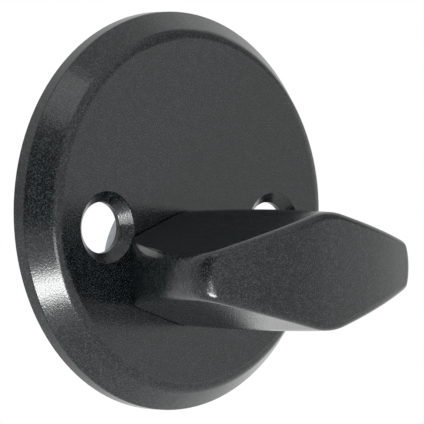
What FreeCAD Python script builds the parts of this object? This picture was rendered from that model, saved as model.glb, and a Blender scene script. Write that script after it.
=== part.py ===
import FreeCAD, Part
import math
import os

# A thumb turn on a round rose, for the inside of a door.
# The frame: +Z is up, +X is to the right seen from the room, +Y points into the door.
# The origin is where the turn's axis crosses the door's face. Heights are counted from
# the door's face towards the room. All lengths are in millimetres.

# Rose plate, a dished casting
plate_radius = 33.5
plate_height = 7.0
plate_above_turn = 9.6
rim_height = 2.4
rim_round = 0.4
bevel_angle = 52.0
shoulder_round = 2.3
plate_wall = 2.6
rim_wall = 2.6

# Fixing screw holes, countersunk for M5 and set on a level line
screw_spacing = 38.0
screw_line_below_centre = 2.75
screw_hole_radius = 4.25
screw_mouth_radius = 5.95
countersink_depth = 1.7
screw_mouth_round = 0.25

# Hub and stiffening ribs at the back of the plate
hub_radius = 13.8
hub_back_height = 0.2
hub_recess_radius = 10.8
hub_seat_height = 3.2
rib_thickness = 1.8
rib_recess = 1.8
rib_angles = (55.0, 90.0, 125.0, 215.0, 270.0, 325.0)

# Bearing bush pressed into the hub
bush_wall = 1.05
bush_flange_width = 1.1
bush_flange_thickness = 0.45

# Spindle cast in one with the grip
spindle_radius = 6.5
spindle_end_height = 0.1
spindle_chamfer = 0.4

# Running clearances
turn_clearance = 0.05
face_clearance = 0.05
slide_clearance = 0.15

# Grip, a lozenge in section that flares from the plate to the room
grip_reach = 40.8
grip_base_half_height = 10.35
grip_front_half_height = 10.1
grip_ridge_swell = 0.35
grip_base_slope = 0.345
grip_front_slope = 0.277
grip_ridge_round = 12.0
grip_base_half_length = 14.0
grip_front_half_length = 24.2
grip_end_bulge = 2.1
grip_face_radius = 57.0
grip_base_crown_radius = 60.0
grip_front_crown_radius = 8.0
grip_corner_round = 4.5
grip_end_base_round = 0.8
grip_end_front_round = 2.6
grip_ridge_edge_round = 1.4
grip_tip_edge_round = 1.7
grip_rest_angle = 2.1

# Washers and snap ring behind the hub
washer_width = 3.0
washer_thickness = 0.5
wave_washer_width = 2.3
wave_washer_thickness = 0.25
wave_washer_height = 0.7
wave_count = 3
wave_bore_clearance = 0.4
ring_thickness = 1.0
ring_groove_depth = 0.35
ring_groove_play = 0.1
ring_back_width = 2.0
ring_gap_width = 1.3
ring_gap_angle = 56.0
ring_lug_radius = 1.35
ring_lug_hole_radius = 0.6

# Tailpiece, its cross pin and its spring
tailpiece_width = 8.0
tailpiece_thickness = 2.5
tailpiece_behind_door = 32.0
tailpiece_slot_wall = 3.5
tailpiece_travel = 4.0
tailpiece_tip_chamfer = 1.5
pin_radius = 1.0
pin_wall = 0.35
pin_slit = 0.4
pin_end_clearance = 0.2
pin_slot_clearance = 0.1
pocket_end_play = 0.5
spring_radius = 2.0
spring_wire_radius = 0.25
spring_turns = 9
spring_bore_clearance = 0.3
spring_bore_depth = 26.5

# Points that shape each wave of the wave washer, levels that shape the grip's crowned ends,
# how far a cutter runs past what it cuts, and how close two lengths are when they count as the same
points_per_wave = 12
crown_levels = 4
overshoot = 1.0
same = 0.01

# Sizes that follow from the ones above
bush_outer_radius = spindle_radius + turn_clearance + bush_wall
bush_flange_radius = bush_outer_radius + bush_flange_width
grip_base_height = plate_height + bush_flange_thickness + face_clearance
washer_top = hub_seat_height - face_clearance
wave_top = washer_top - washer_thickness
ring_top = wave_top - wave_washer_height
ring_low = ring_top - ring_thickness
groove_radius = spindle_radius - ring_groove_depth
screw_line_z = plate_above_turn - screw_line_below_centre
grip_face_drop = grip_face_radius - math.sqrt(grip_face_radius**2 - grip_front_half_length**2)
grip_corner_height = grip_reach - grip_face_drop
grip_middle_height = (grip_base_height + grip_reach) / 2
grip_middle_slope = (grip_base_slope + grip_front_slope) / 2
grip_middle_half_height = (grip_base_half_height + grip_front_half_height) / 2 + grip_ridge_swell
grip_tip_half_height = grip_front_half_height - grip_front_slope * grip_front_half_length
largest_tip_round = 0.95 * grip_tip_half_height / math.tan(math.pi / 4 - math.atan(grip_front_slope) / 2)
pin_height = (hub_seat_height + grip_base_height) / 2
pin_slot_radius = pin_radius + pin_slot_clearance
tailpiece_front_height = pin_height + pin_slot_radius + tailpiece_slot_wall


def at(x, height, z):
    return FreeCAD.Vector(x, -height, z)


def cylinder(radius, low, high, x=0.0, z=0.0):
    return Part.makeCylinder(radius, high - low, at(x, low, z), FreeCAD.Vector(0, -1, 0))


def turned(profile):
    # A solid of revolution about the turn's axis, from radius and height pairs
    points = [at(radius, height, 0) for radius, height in profile]
    outline = Part.makePolygon(points + points[:1])
    return Part.Face(outline).revolve(at(0, 0, 0), FreeCAD.Vector(0, 1, 0), 360)


def tube(inner, outer, low, high):
    return turned([(inner, low), (outer, low), (outer, high), (inner, high)])


def block(half_x, half_z, low, high):
    # A box centred on the turn's axis
    return Part.makeBox(2 * half_x, high - low, 2 * half_z, at(-half_x, high, -half_z))


def edges_where(shape, test):
    return [edge for edge in shape.Edges if test(edge)]


def circle_at(edge, radius, height):
    # True for a circle of this radius about the turn's axis or the plate's, at this height
    if not isinstance(edge.Curve, Part.Circle):
        return False
    return abs(edge.Curve.Radius - radius) < same and abs(edge.Curve.Center.y + height) < same


def bevel_run(height):
    # How far the bevel has come in from the rim at this height
    return (height - rim_height) / math.tan(math.radians(bevel_angle))


def plate_blank():
    # The outside of the plate, filled, about the turn's axis
    top_radius = plate_radius - bevel_run(plate_height)
    rim = [(0, 0), (plate_radius, 0), (plate_radius, rim_height)]
    blank = turned(rim + [(top_radius, plate_height), (0, plate_height)])
    shoulder = edges_where(blank, lambda edge: circle_at(edge, top_radius, plate_height))
    blank = blank.makeFillet(shoulder_round, shoulder)
    corner = edges_where(blank, lambda edge: circle_at(edge, plate_radius, rim_height))
    return blank.makeFillet(rim_round, corner)


def plate_cavity():
    # The hollow at the back, with its side wall parallel to the bevel
    floor = plate_height - plate_wall
    wall_across = plate_wall / math.sin(math.radians(bevel_angle))
    mouth_radius = plate_radius - rim_wall
    floor_radius = plate_radius - bevel_run(floor) - wall_across
    bend = floor - (mouth_radius - floor_radius) * math.tan(math.radians(bevel_angle))
    return turned([(0, 0), (mouth_radius, 0), (mouth_radius, bend), (floor_radius, floor), (0, floor)])


def rib(angle):
    # One upright rib from the hub to the rim, below the floor of the hollow
    length = plate_radius + plate_above_turn + overshoot
    top = plate_height - plate_wall / 2
    shape = Part.makeBox(length, top - rib_recess, rib_thickness, at(0, top, -rib_thickness / 2))
    shape.rotate(at(0, 0, 0), FreeCAD.Vector(0, -1, 0), angle)
    return shape


def screw_cutter(x):
    # Countersink and through hole of one fixing screw
    throat = plate_height - countersink_depth
    start = at(x, throat, screw_line_z)
    outward = FreeCAD.Vector(0, -1, 0)
    cone = Part.makeCone(screw_hole_radius, screw_mouth_radius, countersink_depth, start, outward)
    return cone.fuse(cylinder(screw_hole_radius, 0, throat, x, screw_line_z))


def rose_plate():
    lift = FreeCAD.Vector(0, 0, plate_above_turn)
    blank = plate_blank()
    blank.translate(lift)
    cavity = plate_cavity()
    cavity.translate(lift)
    floor = plate_height - plate_wall
    screw_xs = (-screw_spacing / 2, screw_spacing / 2)
    added = [cylinder(hub_radius, hub_back_height, floor)]
    added += [rib(angle).common(blank) for angle in rib_angles]
    plate = blank.cut(cavity).fuse(added)
    cutters = [screw_cutter(x) for x in screw_xs]
    cutters.append(cylinder(bush_outer_radius, 0, plate_height))
    cutters.append(cylinder(hub_recess_radius, 0, hub_seat_height))
    plate = plate.cut(cutters).removeSplitter()
    mouths = edges_where(plate, lambda edge: circle_at(edge, screw_mouth_radius, plate_height))
    return plate.makeFillet(screw_mouth_round, mouths)


def bearing_bush():
    bore = spindle_radius + turn_clearance
    return turned(
        [
            (bore, hub_seat_height),
            (bush_outer_radius, hub_seat_height),
            (bush_outer_radius, plate_height),
            (bush_flange_radius, plate_height),
            (bush_flange_radius, plate_height + bush_flange_thickness),
            (bore, plate_height + bush_flange_thickness),
        ]
    )


def lozenge(half_height, slope, height):
    # Section of the grip across its axis: four flats, sharp at the sides, with rounded ridges
    tip = half_height / slope
    half_turn = math.atan(slope)
    flat_start = grip_ridge_round * math.sin(half_turn)
    crown = half_height - grip_ridge_round * (1 / math.cos(half_turn) - 1)
    shoulder = half_height - slope * flat_start
    edges = []
    for side in (1, -1):
        arc_start = at(-side * flat_start, height, side * shoulder)
        arc_end = at(side * flat_start, height, side * shoulder)
        edges.append(Part.LineSegment(at(-side * tip, height, 0), arc_start).toShape())
        edges.append(Part.Arc(arc_start, at(0, height, side * crown), arc_end).toShape())
        edges.append(Part.LineSegment(arc_end, at(side * tip, height, 0)).toShape())
    return Part.Wire(edges)


def end_arc():
    # Seen along the ridges each end bulges along an arc: where its centre is, and its radius
    rise = grip_corner_height - grip_base_height
    flare = grip_front_half_length - grip_base_half_length
    chord = math.hypot(rise, flare)
    radius = chord**2 / (8 * grip_end_bulge) + grip_end_bulge / 2
    inward = radius - grip_end_bulge
    centre_x = grip_base_half_length + flare / 2 - inward * rise / chord
    centre_height = grip_base_height + rise / 2 + inward * flare / chord
    return centre_x, centre_height, radius


def crowned_section(height):
    # Section that trims the grip to length: its ends are crowned, more so towards the face
    centre_x, centre_height, radius = end_arc()
    tip = centre_x + math.sqrt(radius**2 - (height - centre_height) ** 2)
    share = (height - grip_base_height) / (grip_corner_height - grip_base_height)
    slope = grip_base_slope + share * (grip_front_slope - grip_base_slope)
    ridge = grip_base_half_height + share * (grip_front_half_height - grip_base_half_height)
    half_width = ridge - slope * tip + overshoot
    bend = (1 - share**2) / grip_base_crown_radius + share**2 / grip_front_crown_radius
    crown = max(1 / bend, half_width + overshoot)
    side = tip - crown + math.sqrt(crown**2 - half_width**2)
    apex = grip_middle_half_height + 2 * overshoot
    edges = []
    for way in (1, -1):
        low = at(way * side, height, -way * half_width)
        high = at(way * side, height, way * half_width)
        peak = at(0, height, way * apex)
        far_high = at(-way * side, height, way * half_width)
        edges.append(Part.Arc(low, at(way * tip, height, 0), high).toShape())
        edges.append(Part.LineSegment(high, peak).toShape())
        edges.append(Part.LineSegment(peak, far_high).toShape())
    return Part.Wire(edges)


def edge_rounds(edge):
    # The radii that this edge of the grip is rounded to at its start and end, 0 where it stays sharp
    ends = [edge.valueAt(edge.FirstParameter), edge.valueAt(edge.LastParameter)]
    at_tip = [abs(point.x) > grip_base_half_length / 2 for point in ends]
    at_front = [-point.y > grip_base_height + same for point in ends]
    if all(at_front):
        if all(at_tip) and ends[0].z * ends[1].z < 0:
            return grip_corner_round, grip_corner_round
        return tuple(grip_tip_edge_round if tip else grip_ridge_edge_round for tip in at_tip)
    if any(at_front) and all(at_tip):
        front_round = min(grip_end_front_round, largest_tip_round)
        return tuple(front_round if front else grip_end_base_round for front in at_front)
    return 0, 0


def rounded(shape, radii_of):
    # The shape with all its edges rounded at once, each from one radius to another
    document = FreeCAD.newDocument()
    sharp = document.addObject("Part::Feature")
    sharp.Shape = shape
    fillet = document.addObject("Part::Fillet")
    fillet.Base = sharp
    pairs = [radii_of(edge) for edge in shape.Edges]
    fillet.Edges = [(number, *pair) for number, pair in enumerate(pairs, 1) if all(pair)]
    document.recompute()
    return fillet.Shape.copy()


def grip():
    sections = [
        lozenge(grip_base_half_height, grip_base_slope, grip_base_height),
        lozenge(grip_middle_half_height, grip_middle_slope, grip_middle_height),
        lozenge(grip_front_half_height, grip_front_slope, grip_reach),
    ]
    prism = Part.makeLoft(sections, True, False)
    level_step = (grip_reach - grip_base_height) / (crown_levels - 1)
    levels = [grip_base_height + level_step * level for level in range(crown_levels)]
    crowned = Part.makeLoft([crowned_section(height) for height in levels], True, False)
    half_width = grip_middle_half_height + overshoot
    face_start = at(0, grip_reach - grip_face_radius, -half_width)
    face = Part.makeCylinder(grip_face_radius, 2 * half_width, face_start, FreeCAD.Vector(0, 0, 1))
    return rounded(prism.common(crowned).common(face).removeSplitter(), edge_rounds)


def cross_pin(radius, half_length):
    start = at(0, pin_height, -half_length)
    return Part.makeCylinder(radius, 2 * half_length, start, FreeCAD.Vector(0, 0, 1))


def thumb_turn():
    end = spindle_end_height
    spindle = cylinder(spindle_radius, end, grip_base_height)
    tip = edges_where(spindle, lambda edge: circle_at(edge, spindle_radius, end))
    spindle = spindle.makeChamfer(spindle_chamfer, tip)
    pocket_half_width = tailpiece_width / 2 + slide_clearance
    pocket_half_depth = tailpiece_thickness / 2 + slide_clearance
    pocket_top = tailpiece_front_height + tailpiece_travel + pocket_end_play
    spring_bore_radius = spring_radius + spring_wire_radius + spring_bore_clearance
    cutters = [
        tube(groove_radius, spindle_radius + overshoot, ring_low, ring_top + ring_groove_play),
        block(pocket_half_width, pocket_half_depth, end - overshoot, pocket_top),
        cylinder(spring_bore_radius, end - overshoot, spring_bore_depth),
        cross_pin(pin_radius, spindle_radius + overshoot),
    ]
    return grip().fuse(spindle).cut(cutters).removeSplitter()


def flat_washer():
    bore = spindle_radius + turn_clearance
    return tube(bore, bore + washer_width, washer_top - washer_thickness, washer_top)


def wave_edge(radius, height, swing):
    # One closed rim of the wave washer, rising and falling wave_count times
    steps = points_per_wave * wave_count
    points = []
    for step in range(steps):
        angle = 2 * math.pi * step / steps
        lift = swing * math.cos(wave_count * angle)
        points.append(at(radius * math.cos(angle), height + lift, radius * math.sin(angle)))
    curve = Part.BSplineCurve()
    curve.interpolate(Points=points, PeriodicFlag=True)
    return curve.toShape()


def solid_of(faces):
    shell = Part.makeShell(faces)
    shell.sewShape()
    solid = Part.makeSolid(Part.Shell(shell.Faces))
    if solid.Volume < 0:
        solid.reverse()
    return solid


def wave_washer():
    bore = spindle_radius + wave_bore_clearance
    swing = (wave_washer_height - wave_washer_thickness) / 2 - turn_clearance
    middle = wave_top - wave_washer_height / 2
    low = middle - wave_washer_thickness / 2
    high = middle + wave_washer_thickness / 2
    inner_low = wave_edge(bore, low, swing)
    inner_high = wave_edge(bore, high, swing)
    outer_low = wave_edge(bore + wave_washer_width, low, swing)
    outer_high = wave_edge(bore + wave_washer_width, high, swing)
    faces = [
        Part.makeRuledSurface(inner_low, outer_low),
        Part.makeRuledSurface(inner_high, outer_high),
        Part.makeRuledSurface(inner_low, inner_high),
        Part.makeRuledSurface(outer_low, outer_high),
    ]
    return solid_of(faces)


def retaining_ring():
    # Snap ring: thickest opposite its gap, with a holed lug on each side of the gap
    bore = groove_radius + turn_clearance / 2
    outer = bore + (ring_back_width + ring_gap_width) / 2
    offset = (ring_back_width - ring_gap_width) / 2
    body = cylinder(outer, ring_low, ring_top, 0, offset)
    lug_distance = bore + ring_lug_radius
    half_gap = math.radians(ring_gap_angle / 2)
    lug_spots = []
    for sign in (-1, 1):
        lug_angle = -math.pi / 2 + sign * (half_gap + math.asin(ring_lug_radius / lug_distance))
        lug_spots.append((lug_distance * math.cos(lug_angle), lug_distance * math.sin(lug_angle)))
    body = body.fuse([cylinder(ring_lug_radius, ring_low, ring_top, x, z) for x, z in lug_spots])
    reach = 2 * outer
    centre = at(0, ring_low, 0)
    left = at(-reach * math.sin(half_gap), ring_low, -reach * math.cos(half_gap))
    right = at(reach * math.sin(half_gap), ring_low, -reach * math.cos(half_gap))
    wedge = Part.Face(Part.makePolygon([centre, left, right, centre]))
    gap = wedge.extrude(FreeCAD.Vector(0, -ring_thickness, 0))
    holes = [cylinder(ring_lug_hole_radius, ring_low, ring_top, x, z) for x, z in lug_spots]
    return body.cut(holes + [gap, cylinder(bore, ring_low, ring_top)]).removeSplitter()


def is_tip_corner(edge):
    # A short edge through the bar's thickness at its far end
    goes_across = abs(edge.Length - tailpiece_thickness) < same
    return goes_across and all(abs(vertex.Y - tailpiece_behind_door) < same for vertex in edge.Vertexes)


def tailpiece():
    # A flat bar with a round-ended slot for the cross pin, along which it slides
    half_thickness = tailpiece_thickness / 2
    bar = block(tailpiece_width / 2, half_thickness, -tailpiece_behind_door, tailpiece_front_height)
    bar = bar.makeChamfer(tailpiece_tip_chamfer, edges_where(bar, is_tip_corner))
    slot_low = pin_height - tailpiece_travel
    slot_end = cross_pin(pin_slot_radius, half_thickness + overshoot)
    slot_start = slot_end.translated(FreeCAD.Vector(0, tailpiece_travel, 0))
    slot = block(pin_slot_radius, half_thickness + overshoot, slot_low, pin_height)
    return bar.cut([slot, slot_start, slot_end]).removeSplitter()


def tailpiece_pin():
    # A slit spring pin rolled from strip
    half_length = spindle_radius - pin_end_clearance
    bore = cross_pin(pin_radius - pin_wall, half_length)
    corner = at(-pin_slit / 2, pin_height + pin_radius, -half_length)
    slit = Part.makeBox(pin_slit, pin_radius, 2 * half_length, corner)
    return cross_pin(pin_radius, half_length).cut([bore, slit])


def arc_to(start, corner, end):
    # The arc from start to end whose tangents meet in the corner
    middle = (start + end) / 2
    half_chord = start.distanceToPoint(end) / 2
    rise = middle.distanceToPoint(corner)
    bulge = half_chord * math.tan(math.atan2(rise, half_chord) / 2)
    return Part.Arc(start, middle + (corner - middle) * (bulge / rise), end).toShape()


def tailpiece_spring():
    # Wire bent along a helix, each quarter turn of it two arcs that meet smoothly
    low = tailpiece_front_height + spring_wire_radius
    length = spring_bore_depth - spring_wire_radius - low
    quarters = 4 * spring_turns
    climb = length / (2 * math.pi * spring_turns)
    places = []
    for quarter in range(quarters + 1):
        angle = math.pi / 2 * quarter
        across = spring_radius * math.cos(angle)
        up = spring_radius * math.sin(angle)
        place = at(across, low + climb * angle, up)
        places.append((place, at(-up, climb, across).normalize()))
    arcs = []
    for (start, leaving), (end, arriving) in zip(places, places[1:]):
        chord = end - start
        along = chord.dot(leaving + arriving)
        spread = 2 * (1 - leaving.dot(arriving))
        handle = (math.sqrt(along**2 + spread * chord.dot(chord)) - along) / spread
        first_corner = start + leaving * handle
        second_corner = end - arriving * handle
        joint = (first_corner + second_corner) / 2
        arcs.append(arc_to(start, first_corner, joint))
        arcs.append(arc_to(joint, second_corner, end))
    place, heading = places[0]
    section = Part.Wire(Part.makeCircle(spring_wire_radius, place, heading))
    return Part.Wire(arcs).makePipeShell([section], True, False)


def turned_to_rest(shape):
    # The grip stands a few degrees off level, its right end up, and all it carries with it
    shape.rotate(at(0, 0, 0), FreeCAD.Vector(0, -1, 0), grip_rest_angle)
    return shape


fixed_pieces = {"rose_plate": rose_plate, "bearing_bush": bearing_bush}
turning_pieces = {
    "thumb_turn": thumb_turn,
    "flat_washer": flat_washer,
    "wave_washer": wave_washer,
    "retaining_ring": retaining_ring,
    "tailpiece": tailpiece,
    "tailpiece_pin": tailpiece_pin,
    "tailpiece_spring": tailpiece_spring,
}

os.makedirs("parts", exist_ok=True)
shapes = {name: make() for name, make in fixed_pieces.items()}
shapes.update({name: turned_to_rest(make()) for name, make in turning_pieces.items()})
for name, shape in shapes.items():
    shape.exportStep(f"parts/{name}.step")
    print(name, "valid" if shape.isValid() else "INVALID", len(shape.Solids), round(shape.Volume, 1))
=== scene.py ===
import logging
import math
from dataclasses import dataclass, field
from enum import Enum

import bpy
from mathutils import Matrix, Vector


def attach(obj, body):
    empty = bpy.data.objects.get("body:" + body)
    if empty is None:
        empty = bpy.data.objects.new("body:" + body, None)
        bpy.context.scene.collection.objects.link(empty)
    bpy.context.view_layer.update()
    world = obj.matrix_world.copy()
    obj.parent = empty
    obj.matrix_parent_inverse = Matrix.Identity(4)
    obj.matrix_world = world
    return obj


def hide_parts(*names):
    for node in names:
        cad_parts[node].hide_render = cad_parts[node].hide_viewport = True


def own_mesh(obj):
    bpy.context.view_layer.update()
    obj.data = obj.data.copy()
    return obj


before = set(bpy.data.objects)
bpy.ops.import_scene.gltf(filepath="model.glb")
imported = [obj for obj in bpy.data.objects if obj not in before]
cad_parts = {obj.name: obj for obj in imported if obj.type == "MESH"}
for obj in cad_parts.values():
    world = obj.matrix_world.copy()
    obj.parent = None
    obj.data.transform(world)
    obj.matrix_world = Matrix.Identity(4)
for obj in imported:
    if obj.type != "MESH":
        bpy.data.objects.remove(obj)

# A thumb turn on a round rose. Sizes are in millimetres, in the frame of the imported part:
# +Z up, +X right, +Y into the door. The turn's axis runs along Y through the origin, and
# heights are counted from the door's face towards the room. Only names that end in _m, for
# the studio around the part, are in metres.

LOG = logging.getLogger("thumb_turn_set")
MM = 0.001

# How far the middle of the plate lies above the turn's axis, and that point as Blender places it
PLATE_ABOVE_TURN = 9.6
PLATE_CENTRE = Vector((0, 0, PLATE_ABOVE_TURN * MM))

# The sRGB curve: a straight toe up to a threshold, and a power above it
SRGB_TOE_END = 0.04045
SRGB_TOE_SLOPE = 12.92
SRGB_OFFSET = 0.055
SRGB_POWER = 2.4

# The Mix node's sockets, by number, because several of them share a name
MIX_NUMBER_INPUTS = (2, 3)
MIX_COLOUR_INPUTS = (6, 7)
MIX_COLOUR_OUTPUT = 2


class Ray(Enum):
    """The kinds of light path that are told apart."""

    CAMERA = "Is Camera Ray"
    GLOSSY = "Is Glossy Ray"
    TRANSMISSION = "Is Transmission Ray"


class Lay(Enum):
    """Which way a surface's fine marks run, as how much the pattern is squeezed along X, Y and Z."""

    EVEN = (1.0, 1.0, 1.0)
    ALONG_AXIS = (1.0, 0.06, 1.0)


def linear(code: str) -> tuple[float, ...]:
    """Turn an sRGB hex colour into the linear colour that Blender takes.

    Args:
        code: The colour, such as "#46494a".

    Returns:
        Red, green, blue and a full alpha, in linear light.
    """
    channels = []
    for start in (1, 3, 5):
        value = int(code[start : start + 2], 16) / 255
        if value <= SRGB_TOE_END:
            channels.append(value / SRGB_TOE_SLOPE)
        else:
            channels.append(((value + SRGB_OFFSET) / (1 + SRGB_OFFSET)) ** SRGB_POWER)
    return (*channels, 1.0)


def add_node(
    tree: bpy.types.NodeTree,
    kind: str,
    settings: dict[str, object] | None = None,
    feeds: dict[str | int, object] | None = None,
) -> bpy.types.Node:
    """Add one node with its settings and with what feeds its sockets.

    Args:
        tree: The tree that gets the node.
        kind: Blender's name for the kind of node.
        settings: Values of the node's own properties.
        feeds: For an input, by name or number, a fixed value, the socket that feeds it, or a
            node whose first output does.

    Returns:
        The new node.
    """
    node = tree.nodes.new(kind)
    for name, value in (settings or {}).items():
        setattr(node, name, value)
    for key, value in (feeds or {}).items():
        if isinstance(value, bpy.types.Node):
            value = value.outputs[0]
        if isinstance(value, bpy.types.NodeSocket):
            tree.links.new(value, node.inputs[key])
        else:
            node.inputs[key].default_value = value
    return node


def two_tone(
    tree: bpy.types.NodeTree, value: object, band: tuple[float, float], dark: str, light: str
) -> bpy.types.NodeSocket:
    """Shade from one colour to another with a pattern.

    Args:
        tree: The material's tree.
        value: The pattern.
        band: The pattern's values that get the dark and the light colour.
        dark: The dark colour.
        light: The light colour.

    Returns:
        The socket with the colour.
    """
    feeds = {"Value": value, "From Min": band[0], "From Max": band[1]}
    share = add_node(tree, "ShaderNodeMapRange", {}, feeds)
    first, second = MIX_COLOUR_INPUTS
    feeds = {0: share, first: linear(dark), second: linear(light)}
    return add_node(tree, "ShaderNodeMix", {"data_type": "RGBA"}, feeds).outputs[MIX_COLOUR_OUTPUT]


@dataclass(frozen=True)
class Grain:
    """A noise pattern of one real grain size, in object space."""

    size_mm: float
    detail: float = 2.0
    roughness: float = 0.5
    lay: Lay = Lay.EVEN

    def pattern(self, tree: bpy.types.NodeTree) -> bpy.types.Node:
        """Lay the pattern out.

        Args:
            tree: The material's tree.

        Returns:
            The node with the pattern's value, about 0.5 on average.
        """
        place = add_node(tree, "ShaderNodeTexCoord").outputs["Object"]
        laid = add_node(tree, "ShaderNodeMapping", {}, {"Vector": place, "Scale": self.lay.value})
        feeds = {
            "Vector": laid,
            "Scale": 1 / (self.size_mm * MM),
            "Detail": self.detail,
            "Roughness": self.roughness,
        }
        return add_node(tree, "ShaderNodeTexNoise", {}, feeds)

    def relief(self, tree: bpy.types.NodeTree, depth_mm: float) -> bpy.types.Node:
        """Raise a surface by the pattern.

        Args:
            tree: The material's tree.
            depth_mm: How high the pattern stands.

        Returns:
            The node with the raised surface's normal.
        """
        feeds = {"Height": self.pattern(tree), "Distance": depth_mm * MM, "Strength": 1.0}
        return add_node(tree, "ShaderNodeBump", {}, feeds)


@dataclass(frozen=True)
class Paint:
    """Charcoal powder paint, sprayed on and baked.

    To the eye it is nearly black and satin, with a fine peel that makes its gloss sparkle, and
    with small grey specks of unmelted pigment in faint clouds. The real specks are 0.05 to
    0.1 mm wide, which is too fine to show here, so they are drawn 0.22 to 0.25 mm wide.
    """

    dark: str = "#060809"
    light: str = "#2e3638"
    speck_band: tuple[float, float] = (0.46, 0.66)
    roughness: float = 0.17
    index: float = 1.5
    speck: Grain = Grain(0.25, 1.0)
    cloud: Grain = Grain(1.1)
    cloud_share: float = 0.22
    peel: Grain = Grain(0.32)
    peel_depth_mm: float = 0.018

    def shader(self, tree: bpy.types.NodeTree) -> bpy.types.Node:
        """Build the paint's surface.

        Args:
            tree: The material's tree.

        Returns:
            The shader's node.
        """
        feeds = {0: self.cloud.pattern(tree), 1: self.cloud_share, 2: self.speck.pattern(tree)}
        speckle = add_node(tree, "ShaderNodeMath", {"operation": "MULTIPLY_ADD"}, feeds)

        # The clouds add half their share on average, so the band moves up by that much
        low, high = (edge + self.cloud_share / 2 for edge in self.speck_band)
        feeds = {
            "Base Color": two_tone(tree, speckle, (low, high), self.dark, self.light),
            "Roughness": self.roughness,
            "IOR": self.index,
            "Normal": self.peel.relief(tree, self.peel_depth_mm),
        }
        return add_node(tree, "ShaderNodeBsdfPrincipled", {}, feeds)


@dataclass(frozen=True)
class Metal:
    """A bare or plated metal, with a mottled colour and fine marks that vary its gloss."""

    dark: str
    light: str
    roughness: float
    mottle: Grain
    marks: Grain
    mark_depth_mm: float
    gloss_spread: float = 0.12
    mottle_band: tuple[float, float] = (0.35, 0.65)
    mark_band: tuple[float, float] = (0.3, 0.7)

    def shader(self, tree: bpy.types.NodeTree) -> bpy.types.Node:
        """Build the metal's surface.

        Args:
            tree: The material's tree.

        Returns:
            The shader's node.
        """
        gloss = {
            "Value": self.marks.pattern(tree),
            "From Min": self.mark_band[0],
            "From Max": self.mark_band[1],
            "To Min": self.roughness - self.gloss_spread / 2,
            "To Max": self.roughness + self.gloss_spread / 2,
        }
        feeds = {
            "Base Color": two_tone(tree, self.mottle.pattern(tree), self.mottle_band, self.dark, self.light),
            "Metallic": 1.0,
            "Roughness": add_node(tree, "ShaderNodeMapRange", {}, gloss),
            "Normal": self.marks.relief(tree, self.mark_depth_mm),
        }
        return add_node(tree, "ShaderNodeBsdfPrincipled", {}, feeds)


@dataclass(frozen=True)
class Moulding:
    """A moulded plastic, even in colour, with the faint waves that a cooling mould leaves."""

    dark: str
    light: str
    roughness: float
    index: float
    flow: Grain
    texture: Grain
    texture_depth_mm: float
    flow_band: tuple[float, float] = (0.3, 0.7)

    def shader(self, tree: bpy.types.NodeTree) -> bpy.types.Node:
        """Build the plastic's surface.

        Args:
            tree: The material's tree.

        Returns:
            The shader's node.
        """
        feeds = {
            "Base Color": two_tone(tree, self.flow.pattern(tree), self.flow_band, self.dark, self.light),
            "Roughness": self.roughness,
            "IOR": self.index,
            "Normal": self.texture.relief(tree, self.texture_depth_mm),
        }
        return add_node(tree, "ShaderNodeBsdfPrincipled", {}, feeds)


PLATE_PAINT = Paint()

# The same paint on the grip: its ground is a little darker, its specks are finer, and its peel
# is deeper, so that the gloss on the small rounds of the grip breaks up more.
GRIP_PAINT = Paint(dark="#030404", light="#2f3739", speck=Grain(0.22), peel_depth_mm=0.028)

# Die-cast zinc as it leaves the mould: a matt light grey skin with faint flow clouds, and the
# fine pitting of the mould's wall. The pits are drawn about three times too wide, to show.
CAST_ZINC = Metal("#8b9097", "#a8adb3", 0.46, Grain(2.4, 4.0, 0.6), Grain(0.45, 3.0), 0.018)

# The same zinc where the spindle is turned to size: brighter, smoother and closer in grain.
TURNED_ZINC = Metal("#9aa0a6", "#c3c8cc", 0.30, Grain(1.8, 3.0), Grain(0.5), 0.006)

# Steel bar, blanked and then bright zinc plated: a cool light grey, still showing the lines of
# the rolling mill along the bar. Real lines are some 0.05 mm apart and are drawn 0.3 mm apart.
PLATED_BAR = Metal("#a3a8ae", "#c9cdd1", 0.30, Grain(3.0, 3.0), Grain(0.3, 3.0, 0.6, Lay.ALONG_AXIS), 0.008)

# A blanked and tumbled steel washer, bright zinc plated: softer gloss, and no lines.
PLATED_WASHER = Metal("#a0a6ac", "#c6cacf", 0.34, Grain(1.6, 3.0), Grain(0.35), 0.008)

# Spring steel strip, hardened and oiled: dark and brownish, with a close satin gloss.
SPRING_STRIP = Metal("#3f3b38", "#5d5853", 0.36, Grain(1.2, 3.0), Grain(0.25), 0.006)

# Drawn spring wire: the die leaves it smoother and a little brighter than the strip.
SPRING_WIRE = Metal("#55514d", "#7d7872", 0.27, Grain(0.8), Grain(0.15), 0.003)

# Acetal, moulded, black: semi-matt and faintly waxy, because it is never quite opaque.
ACETAL = Moulding("#17181a", "#1e1f21", 0.40, 1.48, Grain(4.0), Grain(0.3), 0.010)


def new_material(name: str) -> bpy.types.Material:
    """Start an empty material.

    Args:
        name: The material's name.

    Returns:
        A material whose tree has no nodes yet.
    """
    material = bpy.data.materials.new(name)
    material.use_nodes = True
    material.node_tree.nodes.clear()
    return material


def material_of(name: str, finish: Metal | Moulding) -> bpy.types.Material:
    """Make a material of one finish.

    Args:
        name: The material's name.
        finish: The finish.

    Returns:
        The material.
    """
    material = new_material(name)
    tree = material.node_tree
    add_node(tree, "ShaderNodeOutputMaterial", {}, {"Surface": finish.shader(tree)})
    return material


def give(piece: bpy.types.Object, material: bpy.types.Material) -> None:
    """Give a piece its one material.

    Args:
        piece: The piece.
        material: What it gets.
    """
    piece.data.materials.clear()
    piece.data.materials.append(material)
    LOG.info("%s: %s", piece.name, material.name)


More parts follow.
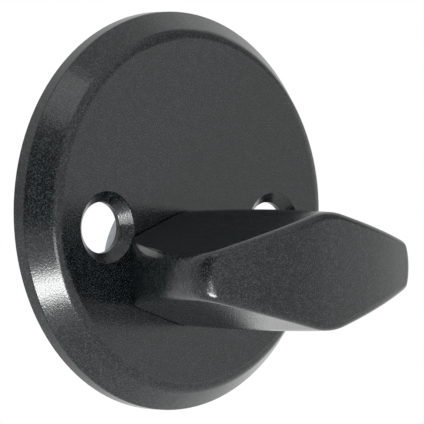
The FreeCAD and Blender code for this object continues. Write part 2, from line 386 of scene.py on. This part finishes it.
def merged_copy(node: str, name: str, merge_mm: float = 0.002) -> bpy.types.Object:
    """Start a new piece from a node's mesh, with its loose triangles merged, and leave it selected.

    Args:
        node: The node.
        name: The new piece's name.
        merge_mm: Corners nearer than this become one.

    Returns:
        The new piece, which lies where the node is.
    """
    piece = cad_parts[node].copy()
    piece.data = piece.data.copy()
    piece.name = name
    bpy.context.scene.collection.objects.link(piece)
    bpy.ops.object.select_all(action="DESELECT")
    piece.select_set(True)
    bpy.context.view_layer.objects.active = piece
    bpy.ops.object.mode_set(mode="EDIT")
    bpy.ops.mesh.select_all(action="SELECT")
    bpy.ops.mesh.remove_doubles(threshold=merge_mm * MM)
    bpy.ops.object.mode_set(mode="OBJECT")
    return piece


@dataclass
class SoftenedSteel:
    """A small steel piece whose blanked edges are broken by tumbling before it is plated."""

    node: str
    body: str
    slot: str
    edge_mm: float
    finish: Metal
    material_name: str
    edge_steps: int = 2
    flat_deg: float = 0.5
    sharp_deg: float = 35.0

    def build(self) -> None:
        """Model the piece that stands for the node, and dress it."""
        piece = merged_copy(self.node, f"{self.node}_tumbled")
        bpy.ops.object.mode_set(mode="EDIT")
        bpy.ops.mesh.select_all(action="SELECT")
        bpy.ops.mesh.dissolve_limited(angle_limit=math.radians(self.flat_deg))
        bpy.ops.object.mode_set(mode="OBJECT")
        bevel = piece.modifiers.new("broken_edges", "BEVEL")
        bevel.width = self.edge_mm * MM
        bevel.segments = self.edge_steps
        bevel.limit_method = "ANGLE"
        bevel.angle_limit = math.radians(self.sharp_deg)
        bpy.ops.object.modifier_apply(modifier=bevel.name)
        bpy.ops.object.shade_smooth_by_angle(angle=math.radians(self.sharp_deg))
        give(piece, material_of(self.material_name, self.finish))
        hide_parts(self.node)
        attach(piece, self.body)


@dataclass
class RosePlate:
    """The round plate: painted in front and round its rim, bare cast zinc behind."""

    radius: float = 33.5
    height: float = 7.0
    rim_height: float = 2.4
    bevel_deg: float = 52.0
    screw_x: float = 19.0
    screw_z: float = 6.85
    mouth_radius: float = 6.3
    throat_height: float = 4.45
    paint_depth: float = 0.35
    material_name: str = "charcoal_powder_paint_on_cast_zinc"

    def painted(self, tree: bpy.types.NodeTree) -> bpy.types.Node:
        """Tell the painted skin from the bare back.

        Args:
            tree: The material's tree.

        Returns:
            A node that gives 1 on the paint and 0 on bare metal.
        """
        place = add_node(tree, "ShaderNodeTexCoord").outputs["Object"]
        place = add_node(tree, "ShaderNodeVectorMath", {"operation": "SCALE"}, {0: place, "Scale": 1 / MM})
        into_door = add_node(tree, "ShaderNodeSeparateXYZ", {}, {0: place}).outputs["Y"]

        # How far the point lies from the axes of the plate and of the two holes
        flat = add_node(tree, "ShaderNodeVectorMath", {"operation": "MULTIPLY"}, {0: place, 1: (1, 0, 1)})
        centres = [(0, 0, PLATE_ABOVE_TURN)] + [(side * self.screw_x, 0, self.screw_z) for side in (-1, 1)]
        gaps = []
        for centre in centres:
            gap = add_node(tree, "ShaderNodeVectorMath", {"operation": "DISTANCE"}, {0: flat, 1: centre})
            gaps.append(gap.outputs["Value"])
        across, left, right = gaps

        # The skin follows the bevel up from the rim, and then the flat face
        slope = math.tan(math.radians(self.bevel_deg))
        feeds = {0: across, 1: -slope, 2: self.radius * slope + self.rim_height}
        bevel = add_node(tree, "ShaderNodeMath", {"operation": "MULTIPLY_ADD"}, feeds)
        skin = add_node(tree, "ShaderNodeMath", {"operation": "MINIMUM"}, {0: bevel, 1: self.height})
        depth = add_node(tree, "ShaderNodeMath", {"operation": "ADD"}, {0: skin, 1: into_door})
        feeds = {0: depth, 1: self.paint_depth}
        in_skin = add_node(tree, "ShaderNodeMath", {"operation": "LESS_THAN"}, feeds)
        feeds = {0: across, 1: self.radius - self.paint_depth}
        on_rim = add_node(tree, "ShaderNodeMath", {"operation": "GREATER_THAN"}, feeds)

        # The mouths of the screw holes are painted down to their throats
        hole = add_node(tree, "ShaderNodeMath", {"operation": "MINIMUM"}, {0: left, 1: right})
        feeds = {0: hole, 1: self.mouth_radius}
        in_hole = add_node(tree, "ShaderNodeMath", {"operation": "LESS_THAN"}, feeds)
        feeds = {0: into_door, 1: -self.throat_height}
        above_throat = add_node(tree, "ShaderNodeMath", {"operation": "LESS_THAN"}, feeds)
        feeds = {0: in_hole, 1: above_throat}
        in_mouth = add_node(tree, "ShaderNodeMath", {"operation": "MULTIPLY"}, feeds)

        outside = add_node(tree, "ShaderNodeMath", {"operation": "MAXIMUM"}, {0: in_skin, 1: on_rim})
        return add_node(tree, "ShaderNodeMath", {"operation": "MAXIMUM"}, {0: outside, 1: in_mouth})

    def dress(self) -> None:
        """Give the plate its paint and its bare back."""
        material = new_material(self.material_name)
        tree = material.node_tree
        feeds = {0: self.painted(tree), 1: CAST_ZINC.shader(tree), 2: PLATE_PAINT.shader(tree)}
        both = add_node(tree, "ShaderNodeMixShader", {}, feeds)
        add_node(tree, "ShaderNodeOutputMaterial", {}, {"Surface": both})
        give(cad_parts["rose_plate"], material)


@dataclass
class BearingBush:
    """The moulded bush that is pressed into the plate's hub."""

    material_name: str = "moulded_black_acetal"

    def dress(self) -> None:
        """Give the bush its plastic."""
        give(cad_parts["bearing_bush"], material_of(self.material_name, ACETAL))


@dataclass
class ThumbTurn:
    """The grip and the spindle, one casting: the grip is painted and the spindle is turned bright."""

    grip_base_height: float = 7.5
    paint_edge: float = 0.02
    material_name: str = "charcoal_powder_paint_on_turned_zinc"

    def painted(self, tree: bpy.types.NodeTree) -> bpy.types.Node:
        """Tell the painted grip from the bare spindle.

        Args:
            tree: The material's tree.

        Returns:
            A node that gives 1 on the paint and 0 on bare metal.
        """
        place = add_node(tree, "ShaderNodeTexCoord").outputs["Object"]
        into_door = add_node(tree, "ShaderNodeSeparateXYZ", {}, {0: place}).outputs["Y"]
        feeds = {0: into_door, 1: (self.paint_edge - self.grip_base_height) * MM}
        return add_node(tree, "ShaderNodeMath", {"operation": "LESS_THAN"}, feeds)

    def dress(self) -> None:
        """Give the grip its paint and the spindle its bare metal."""
        material = new_material(self.material_name)
        tree = material.node_tree
        feeds = {0: self.painted(tree), 1: TURNED_ZINC.shader(tree), 2: GRIP_PAINT.shader(tree)}
        both = add_node(tree, "ShaderNodeMixShader", {}, feeds)
        add_node(tree, "ShaderNodeOutputMaterial", {}, {"Surface": both})
        give(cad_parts["thumb_turn"], material)


@dataclass
class SpindleStack:
    """What holds the spindle in the plate: washer, wave washer and snap ring."""

    washer_edge: float = 0.08
    ring_edge: float = 0.10

    def build(self) -> None:
        """Model the washer and the ring with their broken edges, and dress all three."""
        SoftenedSteel(
            node="flat_washer",
            body="turn",
            slot="zinc_plated_steel",
            edge_mm=self.washer_edge,
            finish=PLATED_WASHER,
            material_name="zinc_plated_washer_steel",
        ).build()
        SoftenedSteel(
            node="retaining_ring",
            body="turn",
            slot="spring_steel",
            edge_mm=self.ring_edge,
            finish=SPRING_STRIP,
            material_name="oiled_ring_spring_steel",
        ).build()
        give(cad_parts["wave_washer"], material_of("oiled_wave_spring_steel", SPRING_STRIP))


@dataclass
class TailpieceDrive:
    """The bar that reaches into the lock, with the pin that holds it and the spring behind it."""

    bar_edge: float = 0.25
    travel: float = 4.0
    spring_top: float = 26.5
    spring_foot: float = 9.95
    wire_smooth_deg: float = 40.0

    def build(self) -> None:
        """Model the bar with its broken edges and the spring behind it, and dress the pin."""
        SoftenedSteel(
            node="tailpiece",
            body="tailpiece",
            slot="zinc_plated_steel",
            edge_mm=self.bar_edge,
            finish=PLATED_BAR,
            material_name="zinc_plated_bar_steel",
        ).build()
        give(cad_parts["tailpiece_pin"], material_of("rolled_pin_spring_steel", SPRING_STRIP))
        self.build_spring()

    def build_spring(self) -> None:
        """Model the spring as a smoothly shaded copy of the node's mesh that rides with the turn, and dress
        it.
        """
        spring = merged_copy("tailpiece_spring", "tailpiece_spring_wound")
        bpy.ops.object.shade_smooth_by_angle(angle=math.radians(self.wire_smooth_deg))
        give(spring, material_of("drawn_spring_wire", SPRING_WIRE))
        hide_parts("tailpiece_spring")
        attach(spring, "turn")
        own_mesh(spring)


@dataclass(frozen=True)
class Lamp:
    """One soft rectangular lamp that faces the part."""

    name: str
    azimuth_deg: float
    elevation_deg: float
    distance_m: float
    width_deg: float
    height_deg: float
    radiance: float

    def hang(self, centre: Vector) -> None:
        """Hang the lamp.

        Args:
            centre: What it faces.
        """
        data = bpy.data.lights.new(self.name, "AREA")
        data.shape = "RECTANGLE"
        data.size = 2 * self.distance_m * math.tan(math.radians(self.width_deg / 2))
        data.size_y = 2 * self.distance_m * math.tan(math.radians(self.height_deg / 2))

        # The power that gives a lamp of this area its radiance
        data.energy = self.radiance * math.pi * data.size * data.size_y
        lamp = bpy.data.objects.new(self.name, data)
        bpy.context.scene.collection.objects.link(lamp)
        a, e = math.radians(self.azimuth_deg), math.radians(self.elevation_deg)
        toward = Vector((math.sin(a) * math.cos(e), -math.cos(a) * math.cos(e), math.sin(e)))
        lamp.location = centre + toward * self.distance_m
        lamp.rotation_euler = toward.to_track_quat("Z", "Y").to_euler()
        LOG.info("lamp %s", self.name)


@dataclass(frozen=True)
class Fade:
    """A level of the surroundings that changes across a band of directions, and is even beside it."""

    side: str
    start: float
    end: float
    low: float
    high: float

    def level(self, tree: bpy.types.NodeTree, sides: bpy.types.bpy_prop_collection) -> bpy.types.Node:
        """Work the level out.

        Args:
            tree: The world's tree.
            sides: The sockets with the direction's X, Y and Z.

        Returns:
            The node with the level.
        """
        feeds = {
            "Value": sides[self.side],
            "From Min": self.start,
            "From Max": self.end,
            "To Min": self.low,
            "To Max": self.high,
        }
        return add_node(tree, "ShaderNodeMapRange", {}, feeds)


@dataclass
class Studio:
    """The floor, the lights and the white surroundings."""

    centre: Vector = field(default_factory=PLATE_CENTRE.copy)
    floor_drop_m: float = 0.5
    floor_half_m: float = 3.0
    floor_paint: str = "#d8d8d6"
    ahead: Fade = Fade("X", -0.85, -0.35, 0.20, 0.92)
    lost_on_the_right: Fade = Fade("X", 0.25, 0.50, 0.0, 0.42)
    overhead: Fade = Fade("Z", 0.84, 0.95, 0.0, 0.68)
    behind: Fade = Fade("Z", 0.20, 0.70, 0.70, 1.05)
    share_behind: Fade = Fade("Y", -0.06, 0.06, 0.0, 1.0)
    lamps: tuple[Lamp, ...] = (
        Lamp("left_front_panel", -32, 0, 0.8, 24, 26, 0.25),
        Lamp("right_front_panel", 29, 0, 0.8, 14, 26, 0.36),
        Lamp("right_panel", 62, 0, 0.8, 52, 26, 0.66),
        Lamp("upper_left_strip", -52, 54, 0.8, 16, 26, 1.3),
        Lamp("low_left_lamp", -57, -36, 0.6, 16, 12, 26.0),
        Lamp("low_left_tail", -47, -26, 0.6, 9, 30, 8.0),
        Lamp("low_left_glow", -56, -42, 0.6, 40, 40, 0.5),
    )

    def build(self) -> None:
        """Make the world, the floor and the lamps."""
        self.make_world()
        self.make_floor()
        for lamp in self.lamps:
            lamp.hang(self.centre)

    def make_world(self) -> None:
        """Surround the part.

        The surroundings are white to the camera and pale behind the part. In front of it they
        are dimmer to the left and to the right than ahead and overhead.
        """
        world = bpy.data.worlds.new("studio")
        bpy.context.scene.world = world
        world.use_nodes = True
        tree = world.node_tree
        tree.nodes.clear()
        path = add_node(tree, "ShaderNodeLightPath").outputs
        direction = add_node(tree, "ShaderNodeTexCoord").outputs["Generated"]
        sides = add_node(tree, "ShaderNodeSeparateXYZ", {}, {0: direction}).outputs
        feeds = {0: self.ahead.level(tree, sides), 1: self.lost_on_the_right.level(tree, sides)}
        front = add_node(tree, "ShaderNodeMath", {"operation": "SUBTRACT"}, feeds)
        feeds = {0: front, 1: self.overhead.level(tree, sides)}
        front = add_node(tree, "ShaderNodeMath", {"operation": "MAXIMUM"}, feeds)
        behind = self.behind.level(tree, sides)
        first, second = MIX_NUMBER_INPUTS
        feeds = {0: self.share_behind.level(tree, sides), first: front, second: behind}
        lit = add_node(tree, "ShaderNodeMix", {"data_type": "FLOAT"}, feeds)
        feeds = {0: path[Ray.CAMERA.value], 1: lit}
        strength = add_node(tree, "ShaderNodeMath", {"operation": "MAXIMUM"}, feeds)
        background = add_node(tree, "ShaderNodeBackground", {}, {"Color": (1, 1, 1, 1), "Strength": strength})
        add_node(tree, "ShaderNodeOutputWorld", {}, {"Surface": background})

    def make_floor(self) -> None:
        """Lay the pale floor well below the part."""
        bpy.ops.object.select_all(action="DESELECT")
        place = self.centre - Vector((0, 0, self.floor_drop_m))
        bpy.ops.mesh.primitive_plane_add(size=2 * self.floor_half_m, location=place)
        floor = bpy.context.object
        floor.name = "studio_floor"
        material = new_material("pale_floor_paint")
        tree = material.node_tree
        path = add_node(tree, "ShaderNodeLightPath").outputs
        seen = path[Ray.CAMERA.value]
        for ray in (Ray.TRANSMISSION, Ray.GLOSSY):
            seen = add_node(tree, "ShaderNodeMath", {"operation": "MAXIMUM"}, {0: seen, 1: path[ray.value]})
        matt = add_node(tree, "ShaderNodeBsdfDiffuse", {}, {"Color": linear(self.floor_paint)})
        white = add_node(tree, "ShaderNodeEmission", {}, {"Color": (1, 1, 1, 1), "Strength": 1.0})
        both = add_node(tree, "ShaderNodeMixShader", {}, {0: seen, 1: matt, 2: white})
        add_node(tree, "ShaderNodeOutputMaterial", {}, {"Surface": both})
        give(floor, material)


@dataclass
class ProductCamera:
    """The camera: level, from the front left, far off with a long lens."""

    azimuth_deg: float = -42.70
    elevation_deg: float = 0.3
    roll_deg: float = 0.28
    distance_m: float = 0.9
    pixels_per_mm: float = 5.936
    frame_px: float = 424.0
    target_x_px: float = 163.44
    target_y_px: float = 210.74
    target: Vector = field(default_factory=PLATE_CENTRE.copy)
    sensor_mm: float = 36.0

    def build(self) -> None:
        """Place the camera and make it the scene's."""
        a, e = math.radians(self.azimuth_deg), math.radians(self.elevation_deg)
        back = Vector((math.sin(a) * math.cos(e), -math.cos(a) * math.cos(e), math.sin(e)))
        level = Vector((math.cos(a), math.sin(a), 0))
        upright = back.cross(level)
        roll = math.radians(self.roll_deg)
        right = level * math.cos(roll) + upright * math.sin(roll)
        up = upright * math.cos(roll) - level * math.sin(roll)
        data = bpy.data.cameras.new("camera")
        data.sensor_width = self.sensor_mm
        data.lens = self.pixels_per_mm / MM * self.distance_m * self.sensor_mm / self.frame_px
        data.shift_x = (self.frame_px / 2 - self.target_x_px) / self.frame_px
        data.shift_y = (self.target_y_px - self.frame_px / 2) / self.frame_px
        camera = bpy.data.objects.new("camera", data)
        bpy.context.scene.collection.objects.link(camera)
        turn = Matrix((right, up, back)).transposed().to_4x4()
        camera.matrix_world = Matrix.Translation(self.target + back * self.distance_m) @ turn
        bpy.context.scene.camera = camera
        LOG.info("camera %s", camera.name)


def main() -> None:
    """Build the looks around the frame."""
    logging.basicConfig(level=logging.INFO, format="%(name)s: %(message)s")
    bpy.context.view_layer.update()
    RosePlate().dress()
    BearingBush().dress()
    ThumbTurn().dress()
    SpindleStack().build()
    TailpieceDrive().build()
    Studio().build()
    ProductCamera().build()
    bpy.context.scene.view_settings.view_transform = "Standard"


if __name__ == "__main__":
    main()
